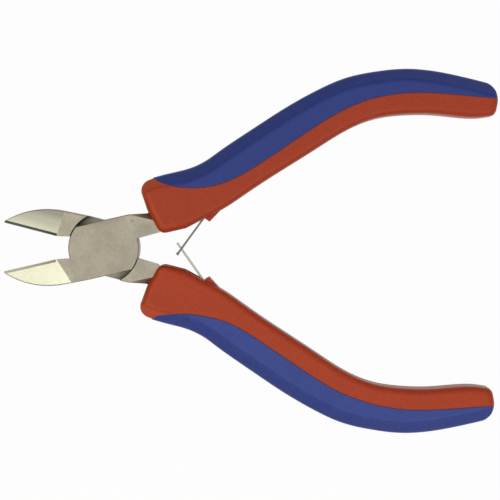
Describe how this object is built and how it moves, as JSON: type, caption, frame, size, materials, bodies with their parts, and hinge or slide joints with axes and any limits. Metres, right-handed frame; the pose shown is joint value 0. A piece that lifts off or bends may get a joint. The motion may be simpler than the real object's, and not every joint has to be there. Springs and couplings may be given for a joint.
{
  "type": "side cutter",
  "caption": "Small side cutter: two steel levers lapped on a rivet, two-colour moulded grips, and crossed leaf springs that open the jaws.",
  "frame": {"origin": "where the pivot axis meets the flat back of the lap joint", "axes": "+X from the pivot towards the handle ends along the centre line, +Y towards the upper handle, +Z along the pivot axis out of the front of the joint"},
  "size_m": [0.108, 0.08, 0.01],
  "materials": {
    "ground_steel": "ground, polished on the jaws",
    "rivet_steel": "ground flush",
    "spring_steel": "bright",
    "red_plastic": "fine moulded grain",
    "blue_plastic": "fine moulded grain"
  },
  "bodies": {
    "rear_lever": {"rear_half": "ground_steel", "lower_grip_body": "red_plastic", "lower_grip_cover": "blue_plastic"},
    "front_lever": {"front_half": "ground_steel", "pivot_rivet": "rivet_steel", "upper_grip_body": "red_plastic", "upper_grip_cover": "blue_plastic"},
    "upper_leaf": {"upper_leaf_spring": "spring_steel"},
    "lower_leaf": {"lower_leaf_spring": "spring_steel"}
  },
  "joints": [
    {"name": "jaw_pivot", "type": "hinge", "parent": "rear_lever", "child": "front_lever", "pos_m": [0, 0, 0.0038], "axis": [0, 0, 1], "range_deg": [-27.2, 0], "stiffness_Nm_per_rad": 0.5, "springref_deg": 8.59},
    {"name": "upper_leaf_flex", "type": "hinge", "parent": "front_lever", "child": "upper_leaf", "pos_m": [0.02442, 0.00961, 0.0038], "axis": [0, 0, 1], "range_deg": [-21.3, 0.1]},
    {"name": "lower_leaf_flex", "type": "hinge", "parent": "rear_lever", "child": "lower_leaf", "pos_m": [0.02442, -0.00961, 0.0038], "axis": [0, 0, 1], "range_deg": [-0.1, 21.3]}
  ],
  "couplings": [
    {"joint": "upper_leaf_flex", "follows": "jaw_pivot", "ratio": 0.7794},
    {"joint": "lower_leaf_flex", "follows": "jaw_pivot", "ratio": -0.7794}
  ]
}
